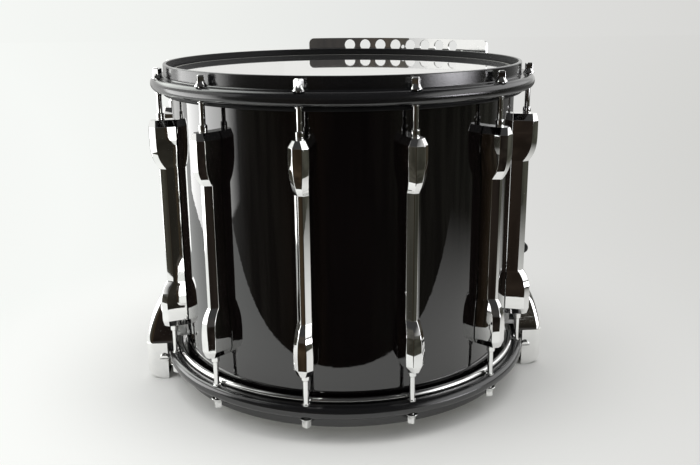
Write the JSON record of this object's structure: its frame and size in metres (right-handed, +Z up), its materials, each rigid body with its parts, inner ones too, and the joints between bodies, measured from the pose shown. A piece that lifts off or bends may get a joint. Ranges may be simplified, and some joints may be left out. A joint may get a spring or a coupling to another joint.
{
  "type": "marching snare drum",
  "caption": "Marching snare drum with black shell and hoops, tall chrome tube lugs, a throw-off with its snare gates, and a curved carrier plate.",
  "frame": {"origin": "bottom centre of the drum's bounding box, on the surface that the two snare gate covers stand on", "axes": "+Z up along the shell, towards the playing head; +X towards the strainer; +Y towards the carrier plate and the player"},
  "size_m": [0.4346, 0.4064, 0.3475],
  "materials": {
    "shell": "black high-gloss lacquer over laminated wood",
    "hoop": "satin black coating",
    "batter_film": "dark glossy film",
    "snare_film": "pale hazy film",
    "flesh_hoop": "polished",
    "lug": "polished chrome",
    "rod": "polished chrome",
    "cover": "polished chrome",
    "plate": "polished chrome",
    "lever": "polished chrome",
    "bracket": "plain plated steel",
    "strand": "stranded cable and flat end plates",
    "grip": "matte black"
  },
  "bodies": {
    "drum": {"shell": "shell", "batter_hoop": "hoop", "snare_hoop": "hoop", "batter_head_film": "batter_film", "snare_head_film": "snare_film", "batter_flesh_hoop": "flesh_hoop", "snare_flesh_hoop": "flesh_hoop", "lug_1": "lug", "lug_2": "lug", "lug_3": "lug", "lug_4": "lug", "lug_5": "lug", "lug_6": "lug", "lug_7": "lug", "lug_8": "lug", "lug_9": "lug", "lug_10": "lug", "lug_11": "lug", "lug_12": "lug", "strainer_cover_screw_1": "rod", "strainer_cover_screw_2": "rod", "strainer_base": "bracket", "strainer_cover": "cover", "butt_cover_screw_1": "rod", "butt_cover_screw_2": "rod", "butt_base": "bracket", "butt_cover": "cover", "butt_clamp": "bracket", "carrier_plate": "plate", "carrier_clamp_1": "plate", "carrier_clamp_2": "plate"},
    "batter_rod_1_turning": {"batter_rod_1": "rod"},
    "batter_rod_2_turning": {"batter_rod_2": "rod"},
    "batter_rod_3_turning": {"batter_rod_3": "rod"},
    "batter_rod_4_turning": {"batter_rod_4": "rod"},
    "batter_rod_5_turning": {"batter_rod_5": "rod"},
    "batter_rod_6_turning": {"batter_rod_6": "rod"},
    "batter_rod_7_turning": {"batter_rod_7": "rod"},
    "batter_rod_8_turning": {"batter_rod_8": "rod"},
    "batter_rod_9_turning": {"batter_rod_9": "rod"},
    "batter_rod_10_turning": {"batter_rod_10": "rod"},
    "batter_rod_11_turning": {"batter_rod_11": "rod"},
    "batter_rod_12_turning": {"batter_rod_12": "rod"},
    "snare_rod_1_turning": {"snare_rod_1": "rod"},
    "snare_rod_2_turning": {"snare_rod_2": "rod"},
    "snare_rod_3_turning": {"snare_rod_3": "rod"},
    "snare_rod_4_turning": {"snare_rod_4": "rod"},
    "snare_rod_5_turning": {"snare_rod_5": "rod"},
    "snare_rod_6_turning": {"snare_rod_6": "rod"},
    "snare_rod_7_turning": {"snare_rod_7": "rod"},
    "snare_rod_8_turning": {"snare_rod_8": "rod"},
    "snare_rod_9_turning": {"snare_rod_9": "rod"},
    "snare_rod_10_turning": {"snare_rod_10": "rod"},
    "snare_rod_11_turning": {"snare_rod_11": "rod"},
    "snare_rod_12_turning": {"snare_rod_12": "rod"},
    "lever": {"throw_lever": "lever", "lever_grip": "grip"},
    "carriage": {"strainer_carriage": "bracket"},
    "snares": {"snare_strands": "strand"}
  },
  "joints": [
    {"name": "batter_rod_1_turn", "type": "hinge", "parent": "drum", "child": "batter_rod_1_turning", "pos_m": [0.04918, -0.19027, 0.329], "axis": [0, 0, 1], "continuous": true},
    {"name": "batter_rod_2_turn", "type": "hinge", "parent": "drum", "child": "batter_rod_2_turning", "pos_m": [0.13435, -0.1411, 0.329], "axis": [0, 0, 1], "continuous": true},
    {"name": "batter_rod_3_turn", "type": "hinge", "parent": "drum", "child": "batter_rod_3_turning", "pos_m": [0.18353, -0.05592, 0.329], "axis": [0, 0, 1], "continuous": true},
    {"name": "batter_rod_4_turn", "type": "hinge", "parent": "drum", "child": "batter_rod_4_turning", "pos_m": [0.18353, 0.04243, 0.329], "axis": [0, 0, 1], "continuous": true},
    {"name": "batter_rod_5_turn", "type": "hinge", "parent": "drum", "child": "batter_rod_5_turning", "pos_m": [0.13435, 0.1276, 0.329], "axis": [0, 0, 1], "continuous": true},
    {"name": "batter_rod_6_turn", "type": "hinge", "parent": "drum", "child": "batter_rod_6_turning", "pos_m": [0.04918, 0.17678, 0.329], "axis": [0, 0, 1], "continuous": true},
    {"name": "batter_rod_7_turn", "type": "hinge", "parent": "drum", "child": "batter_rod_7_turning", "pos_m": [-0.04918, 0.17678, 0.329], "axis": [0, 0, 1], "continuous": true},
    {"name": "batter_rod_8_turn", "type": "hinge", "parent": "drum", "child": "batter_rod_8_turning", "pos_m": [-0.13435, 0.1276, 0.329], "axis": [0, 0, 1], "continuous": true},
    {"name": "batter_rod_9_turn", "type": "hinge", "parent": "drum", "child": "batter_rod_9_turning", "pos_m": [-0.18353, 0.04243, 0.329], "axis": [0, 0, 1], "continuous": true},
    {"name": "batter_rod_10_turn", "type": "hinge", "parent": "drum", "child": "batter_rod_10_turning", "pos_m": [-0.18353, -0.05592, 0.329], "axis": [0, 0, 1], "continuous": true},
    {"name": "batter_rod_11_turn", "type": "hinge", "parent": "drum", "child": "batter_rod_11_turning", "pos_m": [-0.13435, -0.1411, 0.329], "axis": [0, 0, 1], "continuous": true},
    {"name": "batter_rod_12_turn", "type": "hinge", "parent": "drum", "child": "batter_rod_12_turning", "pos_m": [-0.04918, -0.19027, 0.329], "axis": [0, 0, 1], "continuous": true},
    {"name": "snare_rod_1_turn", "type": "hinge", "parent": "drum", "child": "snare_rod_1_turning", "pos_m": [0.04918, -0.19027, 0.0186], "axis": [0, 0, 1], "continuous": true},
    {"name": "snare_rod_2_turn", "type": "hinge", "parent": "drum", "child": "snare_rod_2_turning", "pos_m": [0.13435, -0.1411, 0.0186], "axis": [0, 0, 1], "continuous": true},
    {"name": "snare_rod_3_turn", "type": "hinge", "parent": "drum", "child": "snare_rod_3_turning", "pos_m": [0.18353, -0.05592, 0.0186], "axis": [0, 0, 1], "continuous": true},
    {"name": "snare_rod_4_turn", "type": "hinge", "parent": "drum", "child": "snare_rod_4_turning", "pos_m": [0.18353, 0.04243, 0.0186], "axis": [0, 0, 1], "continuous": true},
    {"name": "snare_rod_5_turn", "type": "hinge", "parent": "drum", "child": "snare_rod_5_turning", "pos_m": [0.13435, 0.1276, 0.0186], "axis": [0, 0, 1], "continuous": true},
    {"name": "snare_rod_6_turn", "type": "hinge", "parent": "drum", "child": "snare_rod_6_turning", "pos_m": [0.04918, 0.17678, 0.0186], "axis": [0, 0, 1], "continuous": true},
    {"name": "snare_rod_7_turn", "type": "hinge", "parent": "drum", "child": "snare_rod_7_turning", "pos_m": [-0.04918, 0.17678, 0.0186], "axis": [0, 0, 1], "continuous": true},
    {"name": "snare_rod_8_turn", "type": "hinge", "parent": "drum", "child": "snare_rod_8_turning", "pos_m": [-0.13435, 0.1276, 0.0186], "axis": [0, 0, 1], "continuous": true},
    {"name": "snare_rod_9_turn", "type": "hinge", "parent": "drum", "child": "snare_rod_9_turning", "pos_m": [-0.18353, 0.04243, 0.0186], "axis": [0, 0, 1], "continuous": true},
    {"name": "snare_rod_10_turn", "type": "hinge", "parent": "drum", "child": "snare_rod_10_turning", "pos_m": [-0.18353, -0.05592, 0.0186], "axis": [0, 0, 1], "continuous": true},
    {"name": "snare_rod_11_turn", "type": "hinge", "parent": "drum", "child": "snare_rod_11_turning", "pos_m": [-0.13435, -0.1411, 0.0186], "axis": [0, 0, 1], "continuous": true},
    {"name": "snare_rod_12_turn", "type": "hinge", "parent": "drum", "child": "snare_rod_12_turning", "pos_m": [-0.04918, -0.19027, 0.0186], "axis": [0, 0, 1], "continuous": true},
    {"name": "throw_off", "type": "hinge", "parent": "drum", "child": "lever", "pos_m": [0.19, -0.00675, 0.1], "axis": [0, 1, 0], "range_deg": [0, 100]},
    {"name": "carriage_slide", "type": "slide", "parent": "drum", "child": "carriage", "axis": [0, 0, 1], "range_m": [-0.00502, 0]},
    {"name": "snares_drop", "type": "hinge", "parent": "drum", "child": "snares", "pos_m": [-0.1935, -0.00675, 0.0177], "axis": [0, 1, 0], "range_deg": [0, 0.75]}
  ],
  "couplings": [
    {"joint": "carriage_slide", "follows": "throw_off", "m_per_rad": -0.0028648},
    {"joint": "snares_drop", "follows": "throw_off", "ratio": 0.0074021}
  ]
}
